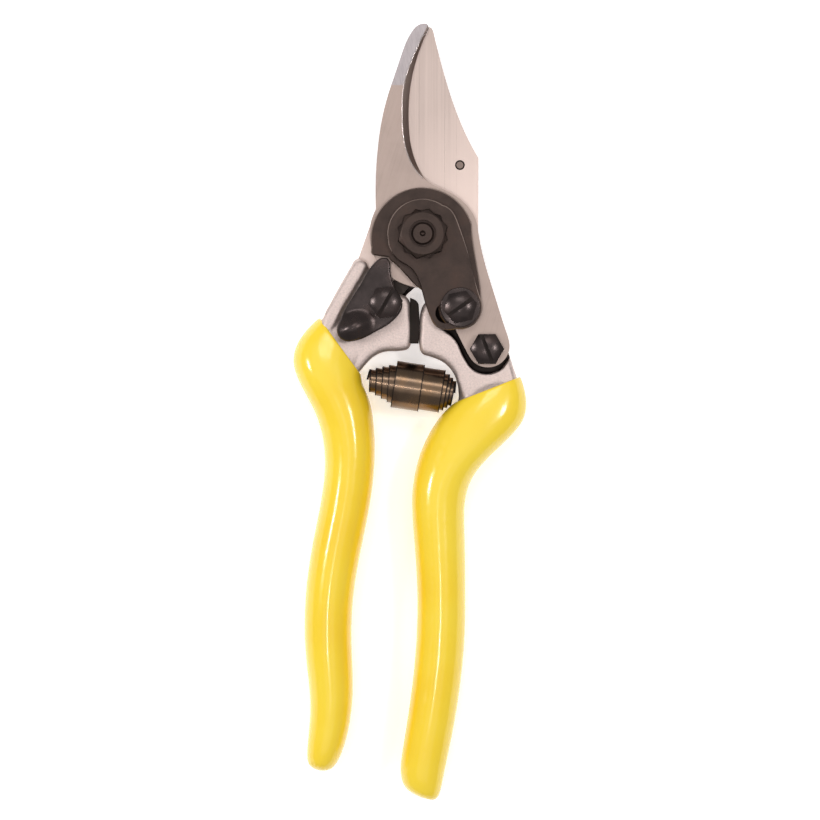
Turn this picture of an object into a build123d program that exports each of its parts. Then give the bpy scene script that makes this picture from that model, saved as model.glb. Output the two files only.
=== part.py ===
"""Bypass pruner, jaws shut and catch on, lying on its back.

Frame, in millimetres: the origin is on the pivot axis, on the plane that the pruner rests on.
+Z points away from that plane, along the pivot axis, and +Y points to the tips of the jaws.
The hook blade, the plates over it and the right handle turn against the cutting blade and
the left handle. Every piece is a solid of its own, and is written to a file of its own.
"""
from build123d import *
import os
from math import atan2, cos, degrees, hypot, radians, sin

# Heights of the flat pieces, from the resting plane up.
HEAD_TOP = 2.0           # pivot bolt's head
WASHER_TOP = 2.4         # washer between the head and the blade handle's hub
HUB_TOP = 4.95           # blade handle's hub
BLADE_LOW = 5.0
SHEAR_Z = 8.0            # the plane where the two blades slide on each other
BLADE_GAP = 0.05
HOOK_TOP = 11.5
SEGMENT_TOP = 13.3
LOCK_TOP = 14.9
CATCH_LOW = 13.6         # the catch passes just above the segment plate
CATCH_TOP = 15.6
CASTING_LOW = 2.6
BLADE_CASTING_TOP = 12.2
HOOK_CASTING_TOP = 12.7
HANDLE_MID = 8.5         # middle height of the grips and of the spring

# Pivot.
HUB_R = 14.3             # both blades' round hubs
BOLT_R = 4.0
THREAD_R = 3.0
RUN_FIT = 0.05           # radial clearance of what turns on a shank
HEAD_R = 8.0
NOTCH_DEPTH = 1.6        # spanner notches in the bolt's head
NOTCH_WIDTH = 1.8
NOTCH_HEIGHT = 0.9
NUT_FLATS = 11.6
NUT_HEIGHT = 4.8
NUT_TURN = 16.0          # degrees
NUT_BORE_R = 3.65
STAR_R = 7.0             # tips of the twelve-point hole that locks the nut
LOCK_R = 9.45            # lock plate's round end
LOCK_TRAVEL = 11         # degrees that the lock plate can turn round its screw

# Screws: centre on the plan, and sizes that they share.
LOCK_SCREW = (10.1, -19.7)
HOOK_SCREW = (17.3, -30.9)
CATCH_SCREW = (-9.9, -18.5)
TANG_SCREW = (-15.6, -13.6)
PIN = (10.1, 18.9)
HUMP = (-17.6, -25.2)    # the catch's raised end
SCREW_R = 2.5
SCREW_FLATS = 8.0
SCREW_HEAD = 3.6
SLOT_WIDTH = 0.9
SLOT_DEPTH = 1.3
FLANGE_R = 5.3
FLANGE = 0.9
PIN_R = 1.3

# The flat ground on the hook blade's tip: where it starts, and its slope in degrees.
GRIND_FROM = 40.2
GRIND_SLOPE = 3.2

# Handles: walls, rounding, and how many cross-sections each core runs through.
GRIP_WALL = 1.0
CASTING_ROUND = 1.4
BLADE_CORE = 11
HOOK_CORE = 12
SPRING_LEFT = (-14.3, -39.2)
SPRING_RIGHT = (7.9, -42.6)
PEG_R = 1.7
SPRING_STEPS = [         # radius of each step, and its share of the spring's length
    (3.5, 0.075), (4.2, 0.08), (4.8, 0.09), (5.4, 0.09), (6.1, 0.33),
    (5.4, 0.09), (4.8, 0.09), (4.2, 0.08), (3.5, 0.075),
]

# Each grip's cross-sections, from its mouth to its end: the two edges on the plan,
# then the thickness and how round the corners are, from 0 to 1.
BLADE_GRIP = [
    ((-27.7, -22.4), (-16.7, -37.5), 15.4, 0.40),
    ((-32.9, -28.6), (-16.7, -39.9), 16.2, 0.60),
    ((-34.9, -35.0), (-15.4, -42.7), 16.8, 0.78),
    ((-31.7, -42.9), (-14.1, -45.0), 17.0, 0.90),
    ((-27.6, -50.2), (-13.0, -51.2), 17.0, 0.95),
    ((-25.8, -61.0), (-12.7, -60.8), 17.0, 0.95),
    ((-27.4, -72.6), (-13.9, -72.6), 17.0, 0.95),
    ((-30.1, -84.6), (-17.0, -86.4), 17.0, 0.95),
    ((-31.7, -98.6), (-19.2, -99.4), 16.8, 0.95),
    ((-31.5, -112.6), (-19.3, -112.2), 16.4, 0.95),
    ((-29.9, -124.0), (-18.5, -122.6), 15.8, 0.95),
    ((-29.8, -132.0), (-19.6, -133.2), 14.6, 0.95),
    ((-30.4, -138.4), (-21.9, -140.2), 12.6, 0.95),
    ((-30.6, -142.8), (-25.0, -143.8), 8.0, 0.95),
]
HOOK_GRIP = [
    ((9.3, -44.8), (26.3, -38.2), 15.4, 0.40),
    ((5.4, -48.3), (27.9, -44.0), 16.2, 0.60),
    ((1.9, -53.5), (27.5, -49.6), 16.8, 0.78),
    ((-0.8, -59.0), (21.9, -56.3), 17.0, 0.90),
    ((-2.5, -65.6), (13.3, -64.2), 17.0, 0.95),
    ((-3.1, -72.4), (11.0, -72.2), 17.0, 0.95),
    ((-2.2, -82.0), (11.2, -82.2), 17.0, 0.95),
    ((-1.2, -96.0), (11.2, -96.0), 16.8, 0.95),
    ((-1.4, -108.0), (11.1, -108.0), 16.6, 0.95),
    ((-2.4, -120.0), (9.9, -121.0), 16.2, 0.95),
    ((-4.3, -133.0), (7.9, -134.2), 15.4, 0.95),
    ((-5.9, -143.6), (5.9, -144.0), 13.8, 0.95),
    ((-5.2, -150.0), (4.2, -150.2), 11.6, 0.95),
    ((-2.6, -152.8), (2.4, -152.8), 7.0, 0.95),
]


def plate(edges, low, high):
    """A plate between two heights, with the closed outline that the edges make."""
    return Pos(0, 0, low) * extrude(Face(Wire(edges)), high - low, dir=(0, 0, 1))


def rod(centre, radius, low, high):
    """An upright round bar."""
    return Pos(centre[0], centre[1], (low + high) / 2) * Cylinder(radius, high - low)


def on_circle(radius, angle, centre=(0, 0)):
    """The point of a circle at an angle in degrees from +X."""
    return (centre[0] + radius * cos(radians(angle)), centre[1] + radius * sin(radians(angle)))


def edges_at(shape, height):
    """The edges that lie flat at a height."""
    return shape.edges().filter_by_position(Axis.Z, height - 0.01, height + 0.01)


def upright_edges(shape, corners):
    """The upright edges of a plate over some points of the plan."""
    upright = shape.edges().filter_by(Axis.Z)
    return [e for e in upright for x, y in corners if hypot(e.center().X - x, e.center().Y - y) < 0.1]


def hexagon_head(centre, flats, low, high, dome, turn):
    """A hexagon head whose top is cut by a sphere that leaves its flats a dome lower."""
    corner = flats / 2 / cos(radians(30))
    head = Pos(0, 0, low) * extrude(RegularPolygon(corner, 6, rotation=turn), high - low)
    ball_r = (corner ** 2 + dome ** 2) / (2 * dome)
    ball = Pos(0, 0, high - ball_r) * Sphere(ball_r)
    return Pos(*centre, 0) * (head & ball)


def slotted_screw(centre, seat, tip, turn, slot_turn, flange=0.0):
    """A screw with a domed hexagon head, slotted for a driver, on a round flange or none."""
    top = seat + flange + SCREW_HEAD
    screw = hexagon_head(centre, SCREW_FLATS, seat, top, 1.5, turn)
    screw += rod(centre, SCREW_R, tip, seat + 0.2)
    if flange:
        screw += rod(centre, FLANGE_R, seat, seat + flange)
    slot = Rot(0, 0, slot_turn) * Box(2 * FLANGE_R, SLOT_WIDTH, 2 * SLOT_DEPTH)
    return screw - Pos(centre[0], centre[1], top) * slot


def section(left, right, thickness, roundness, inset=0.0):
    """A handle's cross-section, standing on the line between its two edges on the plan."""
    across = Vector(right[0] - left[0], right[1] - left[1], 0)
    middle = ((left[0] + right[0]) / 2, (left[1] + right[1]) / 2, HANDLE_MID)
    upright = Plane(origin=middle, x_dir=across, z_dir=across.cross(Vector(0, 0, 1)))
    wide = across.length - 2 * inset
    high = thickness - 2 * inset
    return upright * RectangleRounded(wide, high, roundness * 0.49 * min(wide, high))


def handle_loft(stations, inset=0.0):
    """The smooth handle shape through its cross-sections."""
    return loft([section(*station, inset=inset) for station in stations])


def slanted_cutter(low_curve, low, high_curve, high, far_x):
    """A block between two heights whose near side leans from one curve to the other."""
    faces = []
    for points, height in ((low_curve, low), (high_curve, high)):
        first, last = points[0], points[-1]
        outline = [
            Spline(*points),
            Line(last, (far_x, last[1])),
            Line((far_x, last[1]), (far_x, first[1])),
            Line((far_x, first[1]), first),
        ]
        faces.append(Pos(0, 0, height) * Face(Wire(outline)))
    return loft(faces, ruled=True)


def cutting_outline():
    """The cutting blade: straight heel, curved back, cutting curve, round hub and tang."""
    heel = (15.0, 1.4)
    spur = (15.1, 20.8)
    return [
        Line(heel, spur),
        Spline(spur, (12.3, 25.9), (10.1, 30.8), (6.6, 40.8), (3.9, 50.8), (2.9, 55.0)),
        Spline((2.9, 55.0), (2.1, 56.1), (1.1, 56.3)),
        Spline((1.1, 56.3), (-2.8, 47.2), (-5.6, 38.6), (-6.6, 29.0), (-5.6, 19.6), (-3.4, 13.9)),
        ThreePointArc((-3.4, 13.9), (-9.0, 11.1), (-12.9, 6.1)),
        Line((-12.9, 6.1), (-17.2, -6.0)),
        Line((-17.2, -6.0), (-19.8, -13.0)),
        ThreePointArc((-19.8, -13.0), (-18.6, -21.0), (-11.6, -23.4)),
        Line((-11.6, -23.4), (-3.6, -13.8)),
        ThreePointArc((-3.6, -13.8), (10.1, -10.2), heel),
    ]


def make_cutting_blade():
    """The flat face is at the shear plane, and the grind is on the face away from it."""
    blade = plate(cutting_outline(), BLADE_LOW, SHEAR_Z - BLADE_GAP)
    ground = [(2.8, 58.0), (0.9, 47.2), (-1.4, 38.6), (-2.3, 29.4), (-2.4, 20.6), (-4.4, 11.5)]
    edge = [(0.9, 58.0), (-2.9, 47.2), (-5.7, 38.6), (-6.7, 29.0), (-5.9, 19.6), (-4.6, 11.5)]
    blade -= slanted_cutter(ground, BLADE_LOW - 0.1, edge, SHEAR_Z - 0.35, -20)
    blade -= rod((0, 0), BOLT_R + RUN_FIT, 0, 20)
    blade -= rod(PIN, PIN_R + 0.03, 0, 20)
    blade -= rod(CATCH_SCREW, SCREW_R + 0.1, 0, 20)
    return blade - tang_screw_shape(0.02)


def make_blade_pin():
    """The small stop pin in the cutting blade, chamfered, a little below the blade's face."""
    top = SHEAR_Z - 0.2
    return chamfer(edges_at(rod(PIN, PIN_R, BLADE_LOW, top), top), 0.35)


def make_hook_blade():
    """The hook blade: a crescent, a round hub and a tail that two screws hold."""
    tip = (1.2, 56.8)
    bearing = (1.7, 55.7)
    heel = (14.9, 1.4)
    outline = [
        Spline(tip, (-1.3, 56.4), (-2.9, 54.7), (-6.1, 47.2), (-10.1, 34.8), (-12.3, 21.0), (-12.6, 6.8)),
        ThreePointArc((-12.6, 6.8), (-8.2, -11.7), (5.2, -13.3)),
        Spline((5.2, -13.3), (6.2, -18.6), (8.6, -25.0), (11.6, -31.0), (14.2, -34.7), (17.6, -35.8),
               (21.4, -34.4), (23.4, -30.6), (22.4, -25.8), (19.6, -17.0), (17.1, -8.9), heel),
        Spline(heel, (13.4, 5.8), (9.6, 9.9), (5.2, 12.3), (1.9, 13.9), (-0.8, 17.4), (-2.9, 23.0),
               (-3.8, 31.1), (-3.2, 40.6), (-0.9, 49.6), bearing),
        Line(bearing, tip),
    ]
    hook = plate(outline, SHEAR_Z, HOOK_TOP)
    lip = [(3.0, 58.5), (-0.8, 49.6), (-3.1, 40.6), (-3.7, 31.1), (-2.8, 23.0), (-0.7, 17.4),
           (2.0, 14.2), (5.0, 13.4)]
    crest = [(1.9, 58.5), (-2.2, 49.6), (-4.9, 41.6), (-5.6, 32.1), (-4.6, 23.0), (-2.0, 17.4),
             (0.9, 14.6), (5.0, 13.6)]
    hook -= slanted_cutter(lip, SHEAR_Z + 1.2, crest, HOOK_TOP + 0.1, 30)
    grind = Rot(-GRIND_SLOPE, 0, 0) * Box(60, 60, 6, align=(Align.CENTER, Align.MIN, Align.MIN))
    hook -= Pos(0, GRIND_FROM, HOOK_TOP) * grind
    hook -= rod((0, 0), BOLT_R, 0, 20)
    hook -= rod(LOCK_SCREW, SCREW_R + 0.05, 0, 20)
    return hook - rod(HOOK_SCREW, SCREW_R + 0.05, 0, 20)


def make_segment_plate():
    """The dark plate under the lock plate. Its nose is what the catch stands against."""
    outline = [
        Line((-13.4, -5.6), (-13.9, -5.0)),
        Line((-13.9, -5.0), (-13.8, -3.5)),
        ThreePointArc((-13.8, -3.5), (0.3, 12.5), (13.2, 2.6)),
        Spline((13.2, 2.6), (14.1, -5.4), (15.3, -12.4), (15.8, -18.6)),
        ThreePointArc((15.8, -18.6), on_circle(5.8, -60, LOCK_SCREW), on_circle(5.8, 178, LOCK_SCREW)),
        Spline(on_circle(5.8, 178, LOCK_SCREW), (2.2, -16.9), (-1.6, -14.0), (-5.6, -9.7), (-8.4, -7.2)),
        Line((-8.4, -7.2), (-9.3, -6.1)),
        Line((-9.3, -6.1), (-13.4, -5.6)),
    ]
    disc = plate(outline, HOOK_TOP, SEGMENT_TOP)
    disc = chamfer(edges_at(disc, SEGMENT_TOP), 0.25)
    disc -= rod((0, 0), THREAD_R + 0.1, 0, 20)
    return disc - rod(LOCK_SCREW, SCREW_R + 0.05, 0, 20)


def make_lock_plate():
    """The plate that keeps the nut from turning: a twelve-point hole and an arc slot."""
    outline = [
        ThreePointArc((-9.3, -1.9), on_circle(LOCK_R, 125), on_circle(LOCK_R, 55)),
        Spline(on_circle(LOCK_R, 55), (7.7, 6.4), (9.6, 2.7), (12.0, -4.6), (15.7, -17.8)),
        ThreePointArc((15.7, -17.8), on_circle(5.9, -35, LOCK_SCREW), on_circle(5.9, -100, LOCK_SCREW)),
        Spline(on_circle(5.9, -100, LOCK_SCREW), (6.2, -25.8), (3.6, -24.8), (2.0, -22.2), (0.4, -17.6),
               (-1.4, -11.8), (-3.2, -9.2), (-6.1, -7.4), (-8.4, -4.8), (-9.3, -1.9)),
    ]
    lock = plate(outline, SEGMENT_TOP, LOCK_TOP)
    lock = chamfer(edges_at(lock, LOCK_TOP), 0.25)
    star = RegularPolygon(STAR_R, 6, rotation=NUT_TURN)
    star += RegularPolygon(STAR_R, 6, rotation=NUT_TURN + 30)
    lock -= Pos(0, 0, SEGMENT_TOP - 1) * extrude(star, 5)
    reach = hypot(*LOCK_SCREW)
    start = degrees(atan2(LOCK_SCREW[1], LOCK_SCREW[0]))
    track = CenterArc((0, 0), reach, start, -LOCK_TRAVEL)
    return lock - Pos(0, 0, SEGMENT_TOP - 1) * extrude(SlotArc(track, 2 * SCREW_R + 0.5), 5)


def make_pivot_bolt():
    """A round head with two spanner notches, a smooth shank, and a thread with a dimpled end."""
    head = rod((0, 0), HEAD_R, 0, HEAD_TOP)
    head = fillet(edges_at(head, 0), 0.7)
    bolt = head + rod((0, 0), BOLT_R, HEAD_TOP - 0.1, HOOK_TOP)
    end = SEGMENT_TOP + NUT_HEIGHT - 0.4
    thread = rod((0, 0), THREAD_R, HOOK_TOP - 0.1, end)
    thread = chamfer(edges_at(thread, end), 0.45)
    thread -= Pos(0, 0, end) * Sphere(0.8)
    bolt += thread
    for side in (-1, 1):
        bolt -= Pos(side * HEAD_R, 0, 0) * Box(2 * NOTCH_DEPTH, NOTCH_WIDTH, 2 * NOTCH_HEIGHT)
    return bolt


def make_pivot_nut():
    """A chamfered hexagon nut, bored out wider at the top than its thread."""
    top = SEGMENT_TOP + NUT_HEIGHT
    corner = NUT_FLATS / 2 / cos(radians(30))
    nut = Pos(0, 0, SEGMENT_TOP) * extrude(RegularPolygon(corner, 6, rotation=NUT_TURN), NUT_HEIGHT)
    cone = Pos(0, 0, SEGMENT_TOP) * Cone(corner + NUT_HEIGHT * 1.6, corner - 1.1, NUT_HEIGHT,
                                        align=(Align.CENTER, Align.CENTER, Align.MIN))
    nut = nut & cone
    nut -= rod((0, 0), THREAD_R + 0.02, 0, 30)
    nut -= rod((0, 0), NUT_BORE_R, top - 1.6, top + 1)
    return nut


def make_catch():
    """The thumb catch: a flat arm with a blunt tip, and a raised hump for the thumb."""
    outline = [
        Line((-11.0, -6.4), (-9.4, -6.5)),
        Spline((-9.4, -6.5), (-8.7, -7.6), (-8.6, -10.4), (-7.4, -14.3), (-5.6, -17.6), (-5.5, -19.7),
               (-7.5, -23.0), (-12.6, -26.4), (-18.6, -28.9), (-21.6, -28.6), (-23.2, -26.2), (-22.0, -22.4),
               (-16.9, -13.8), (-13.4, -8.0), (-11.0, -6.4)),
    ]
    arm = plate(outline, CATCH_LOW, CATCH_TOP)
    arm = chamfer(edges_at(arm, CATCH_TOP), 0.4)
    ball = Rot(0, 0, 30) * scale(Sphere(1), by=(4.6, 2.9, 3.4))
    below = Box(20, 20, 6, align=(Align.CENTER, Align.CENTER, Align.MIN))
    hump = Pos(*HUMP, CATCH_TOP - 0.6) * ball - Pos(*HUMP, CATCH_LOW - 5) * below
    return arm + hump - rod(CATCH_SCREW, SCREW_R + RUN_FIT, 0, 30)


def make_washer():
    """The sprung washer that keeps the catch where it is put."""
    ring = rod(CATCH_SCREW, 4.1, BLADE_CASTING_TOP, CATCH_LOW)
    return ring - rod(CATCH_SCREW, SCREW_R + 0.1, 0, 30)


def peg(start, end):
    """The peg that one end of the spring sits on, pointing from a handle into the spring."""
    way = Vector(end[0] - start[0], end[1] - start[1], 0).normalized()
    foot = Vector(start[0], start[1], HANDLE_MID) - way * 4
    return Plane(origin=foot, z_dir=way) * Cylinder(PEG_R, 9, align=(Align.CENTER, Align.CENTER, Align.MIN))


def make_blade_body():
    """The flat part of the left handle's casting, from its end arc to inside the grip."""
    shoulder = (-17.5, -5.7)
    nose = (-3.3, -16.9)
    chin = (-3.2, -31.3)
    outline = [
        Spline((-26.6, -26.6), (-26.8, -23.4), (-24.9, -18.6), (-21.8, -12.8), shoulder),
        ThreePointArc(shoulder, on_circle(17.5, -133), nose),
        Line(nose, chin),
        Spline(chin, (-7.0, -31.2), (-10.6, -31.8), (-13.2, -33.0), (-15.4, -34.8),
               (-17.6, -36.5), (-19.5, -38.4)),
        Line((-19.5, -38.4), (-24.5, -34.5)),
        Line((-24.5, -34.5), (-26.6, -26.6)),
    ]
    body = plate(outline, CASTING_LOW, BLADE_CASTING_TOP)
    body = fillet(upright_edges(body, [shoulder, nose, chin]), 2.0)
    return fillet(edges_at(body, BLADE_CASTING_TOP) + edges_at(body, CASTING_LOW), CASTING_ROUND)


def make_blade_casting(body, core, spring_peg, blade):
    """The left handle: hub behind the blade, a body slotted for the tang, a core in the grip."""
    web = [
        Line((-13.0, 5.4), (-18.3, -9.0)),
        Line((-18.3, -9.0), (-5.5, -17.5)),
        Line((-5.5, -17.5), (-3.0, -13.8)),
        ThreePointArc((-3.0, -13.8), (12.0, 7.3), (-13.0, 5.4)),
    ]
    casting = body + plate(web, CASTING_LOW, HUB_TOP) + rod((0, 0), HUB_R - 0.2, CASTING_LOW, HUB_TOP)
    casting += core
    casting += spring_peg
    casting -= blade
    casting -= rod((0, 0), BOLT_R + RUN_FIT, 0, 20)
    casting -= rod(CATCH_SCREW, SCREW_R + 0.02, 3.2, 20)
    return casting - tang_screw_shape(0.02)


def make_hook_body():
    """The flat part of the right handle's casting, from its end arc to inside the grip."""
    outline = [
        ThreePointArc((3.2, -17.5), (0.5, -18.5), (-0.5, -21.2)),
        Spline((-0.5, -21.2), (-0.8, -25.6), (-0.9, -29.6)),
        ThreePointArc((-0.9, -29.6), (0.1, -32.0), (2.4, -33.0)),
        Spline((2.4, -33.0), (5.9, -34.5), (8.5, -37.4), (9.9, -41.0), (11.0, -44.1), (12.4, -46.0)),
        Line((12.4, -46.0), (20.0, -45.0)),
        Line((20.0, -45.0), (24.6, -41.0)),
        Spline((24.6, -41.0), (25.0, -38.6), (24.4, -35.8), (23.2, -31.0), (20.4, -22.0), (18.0, -14.6)),
        ThreePointArc((18.0, -14.6), (16.6, -12.0), (13.8, -11.9)),
        ThreePointArc((13.8, -11.9), on_circle(18.0, -62), (3.2, -17.5)),
    ]
    body = plate(outline, CASTING_LOW, HOOK_CASTING_TOP)
    return fillet(edges_at(body, HOOK_CASTING_TOP) + edges_at(body, CASTING_LOW), CASTING_ROUND)


def make_hook_casting(body, core, spring_peg):
    """The right handle: a body with a pocket for the hook blade's tail, a core in the grip."""
    pocket = [
        Line((30, -10), (2.2, -10)),
        Line((2.2, -10), (2.2, -19.6)),
        Spline((2.2, -19.6), (4.3, -24.3), (8.8, -28.6), (11.2, -33.4), (13.6, -36.5), (17.4, -37.6),
               (21.2, -36.4), (24.0, -32.8)),
        Line((24.0, -32.8), (30, -30)),
        Line((30, -30), (30, -10)),
    ]
    casting = body - plate(pocket, SHEAR_Z, 20)
    casting += core
    casting += spring_peg
    casting -= rod(LOCK_SCREW, SCREW_R + 0.02, 4.2, 20)
    return casting - rod(HOOK_SCREW, SCREW_R + 0.02, 4.2, 20)


def make_grip(stations, core, spring_peg):
    """A dipped sleeve over the casting's core, open where the casting comes out."""
    return handle_loft(stations) - core - spring_peg


def tang_screw_shape(spare=0.0):
    """The countersunk screw through the back of the blade handle into the tang."""
    low = CASTING_LOW + 0.1
    shank = rod(TANG_SCREW, 1.55 + spare, low, SHEAR_Z - 0.5)
    head = Cone(3.1 + spare, 1.55 + spare, 1.6, align=(Align.CENTER, Align.CENTER, Align.MIN))
    opening = rod(TANG_SCREW, 3.1 + spare, 0, low) if spare else None
    screw = shank + Pos(*TANG_SCREW, low) * head
    return screw + opening if opening else screw


def make_tang_screw():
    slot = Pos(*TANG_SCREW, CASTING_LOW) * Rot(0, 0, 25) * Box(8, 0.8, 1.6)
    return tang_screw_shape() - slot


def make_spring():
    """A strip wound into two barrels that telescope, simplified to its stepped shell."""
    reach = hypot(SPRING_RIGHT[0] - SPRING_LEFT[0], SPRING_RIGHT[1] - SPRING_LEFT[1])
    start = Vector(SPRING_LEFT[0], SPRING_LEFT[1], HANDLE_MID)
    way = Vector(SPRING_RIGHT[0], SPRING_RIGHT[1], HANDLE_MID) - start
    along = 0.0
    shell = None
    low_end = (Align.CENTER, Align.CENTER, Align.MIN)
    for radius, width in SPRING_STEPS:
        step = Pos(0, 0, along) * Cylinder(radius, width * reach, align=low_end)
        shell = step if shell is None else shell + step
        along += width * reach
    shell -= Pos(0, 0, -1) * Cylinder(PEG_R + 0.5, reach + 2, align=low_end)
    return Plane(origin=start, z_dir=way) * shell


def make_bumper():
    """The rubber stop between the two castings, glued to the left one."""
    left = -3.1
    right = -0.95
    outline = [
        Line((left, -17.6), (left, -29.2)),
        Line((left, -29.2), (right - 0.4, -29.2)),
        Line((right - 0.4, -29.2), (right - 0.25, -20.6)),
        Spline((right - 0.25, -20.6), (right - 0.9, -18.2), (left, -17.6)),
    ]
    return plate(outline, CASTING_LOW + 1.2, BLADE_CASTING_TOP - 1.0)


blade = make_cutting_blade()
blade_body = make_blade_body()
hook_body = make_hook_body()
blade_core = handle_loft(BLADE_GRIP[:BLADE_CORE], inset=GRIP_WALL)
hook_core = handle_loft(HOOK_GRIP[:HOOK_CORE], inset=GRIP_WALL)
left_peg = peg(SPRING_LEFT, SPRING_RIGHT)
right_peg = peg(SPRING_RIGHT, SPRING_LEFT)
nodes = {
    "cutting_blade": blade,
    "blade_pin": make_blade_pin(),
    "hook_blade": make_hook_blade(),
    "segment_plate": make_segment_plate(),
    "lock_plate": make_lock_plate(),
    "pivot_bolt": make_pivot_bolt(),
    "pivot_washer": rod((0, 0), HEAD_R - 0.4, HEAD_TOP, WASHER_TOP) - rod((0, 0), BOLT_R + 0.1, 0, 5),
    "pivot_nut": make_pivot_nut(),
    "lock_plate_screw": slotted_screw(LOCK_SCREW, LOCK_TOP, 4.4, 12, 35.5, flange=FLANGE),
    "hook_blade_screw": slotted_screw(HOOK_SCREW, HOOK_TOP, 4.4, 0, 112),
    "catch_screw": slotted_screw(CATCH_SCREW, CATCH_TOP + 0.05, 3.4, 6, 60),
    "thumb_catch": make_catch(),
    "catch_spring_washer": make_washer(),
    "blade_handle_casting": make_blade_casting(blade_body, blade_core, left_peg, blade),
    "hook_handle_casting": make_hook_casting(hook_body, hook_core, right_peg),
    "blade_handle_grip": make_grip(BLADE_GRIP, blade_core, left_peg),
    "hook_handle_grip": make_grip(HOOK_GRIP, hook_core, right_peg),
    "blade_tang_screw": make_tang_screw(),
    "volute_spring": make_spring(),
    "rubber_bumper": make_bumper(),
}
os.makedirs("parts", exist_ok=True)
for name, shape in nodes.items():
    export_step(shape, "parts/" + name + ".step")
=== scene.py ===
"""Looks of a bypass pruner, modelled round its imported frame.

Lengths in the size settings are in metres, in the frame's own axes: +Z up from the bench
along the pivot, +Y to the tips of the jaws, +X to the hook blade's handle.
"""
from math import asin, atan2, cos, pi, radians, sin

import bpy
from bpy.props import FloatProperty, FloatVectorProperty, IntProperty, PointerProperty
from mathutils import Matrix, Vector


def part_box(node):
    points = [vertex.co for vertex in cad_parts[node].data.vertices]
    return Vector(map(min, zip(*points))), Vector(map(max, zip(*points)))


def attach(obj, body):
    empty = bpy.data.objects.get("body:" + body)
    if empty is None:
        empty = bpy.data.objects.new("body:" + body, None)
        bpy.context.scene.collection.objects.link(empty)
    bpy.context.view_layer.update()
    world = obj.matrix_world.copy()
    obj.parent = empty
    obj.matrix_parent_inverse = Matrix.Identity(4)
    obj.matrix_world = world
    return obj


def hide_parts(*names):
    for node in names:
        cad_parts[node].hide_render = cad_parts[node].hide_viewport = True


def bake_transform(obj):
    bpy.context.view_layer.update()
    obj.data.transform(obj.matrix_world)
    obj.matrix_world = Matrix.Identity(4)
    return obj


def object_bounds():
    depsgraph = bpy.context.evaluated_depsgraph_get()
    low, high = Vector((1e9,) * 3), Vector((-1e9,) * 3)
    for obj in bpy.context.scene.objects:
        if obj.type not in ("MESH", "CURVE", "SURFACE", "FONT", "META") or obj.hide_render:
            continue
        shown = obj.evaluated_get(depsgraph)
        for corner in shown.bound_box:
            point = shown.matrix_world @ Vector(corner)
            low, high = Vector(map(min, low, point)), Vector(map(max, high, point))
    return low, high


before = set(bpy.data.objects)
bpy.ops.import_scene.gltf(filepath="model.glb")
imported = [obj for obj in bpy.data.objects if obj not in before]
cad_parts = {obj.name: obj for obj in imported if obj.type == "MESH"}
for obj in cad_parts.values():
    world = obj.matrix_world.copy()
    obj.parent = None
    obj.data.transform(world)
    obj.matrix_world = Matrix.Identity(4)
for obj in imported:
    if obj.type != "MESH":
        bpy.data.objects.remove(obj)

CAD_BOX = [list(corner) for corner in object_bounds()]

bl_info = {
    "name": "Bypass Pruner",
    "version": (1, 0, 0),
    "blender": (4, 5, 0),
    "location": "View3D > Sidebar > Pruner",
    "description": "Models the grips, castings, spring and finishes of a bypass pruner",
    "category": "Object",
}

MM = 0.001
HOOK_BODY = "hook_handle"
BLADE_BODY = "blade_handle"
CATCH_BODY = "catch"

# Levels of the flat pieces above the bench, and radii round the pivot, in millimetres.
CASTING_LOW = 2.6
HUB_TOP = 4.95
POCKET_FLOOR = 8.0
RIDGE_LOW = 9.0
BLADE_CASTING_TOP = 12.2
HOOK_CASTING_TOP = 12.7
RIDGE_TOP = 13.3
ARM_LOW = 13.6
ARM_TOP = 15.6
HUB_RADIUS = 14.1
AXLE_RADIUS = 4.05

# Corners of a grip's cross-section, how many of a grip's rings its core runs through, and how far
# the core lies inside the grip's skin, in millimetres.
RING_CORNERS = 16
CORE_RINGS = 12
CORE_INSET = 1.0


def size(label, about, millimetres):
    """A length setting, kept in metres."""
    return FloatProperty(name=label, description=about, default=millimetres * MM, min=0.0, unit="LENGTH",
                         precision=5)


def colour(label, about, red, green, blue):
    """A colour setting, as scene-linear red, green and blue."""
    return FloatVectorProperty(name=label, description=about, default=(red, green, blue), min=0.0, max=1.0,
                               size=3, subtype="COLOR")


class PrunerSizes(bpy.types.PropertyGroup):
    """Sizes of the modelled pieces."""
    grip_wall: size("Grip wall", "Thickness of the dipped sleeve", 1.0)
    casting_round: size("Casting rounding", "Radius along the edges of the castings", 1.6)
    casting_grain: size("Casting mesh", "Size of the castings' mesh cells", 0.36)
    catch_round: size("Catch rounding", "Radius along the edges of the thumb catch", 0.45)
    catch_grain: size("Catch mesh", "Size of the thumb catch's mesh cells", 0.16)
    catch_hump: size("Catch hump", "Rise of the thumb catch's outer end", 2.3)
    strip: size("Spring strip", "Thickness of the spring's strip", 0.3)
    spring_end: size("Spring end radius", "Radius of the spring's smallest turn", 2.6)
    spring_middle: size("Spring middle radius", "Radius of the spring's widest turn", 6.4)
    spring_turns: IntProperty(name="Spring turns", description="Turns in the spring's left half",
                              default=4, min=2, max=12)
    bumper_round: size("Bumper rounding", "Radius along the edges of the rubber stop", 0.4)
    # Radius of the thin rounded edge along the hook blade's crest, which carries a painted highlight.
    edge_round: size("Polished edge", "Radius of the hook blade's polished edge", 0.11)
    screw_slot: size("Screw slot", "Width of the driver slots in the screws' heads", 1.0)


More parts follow.
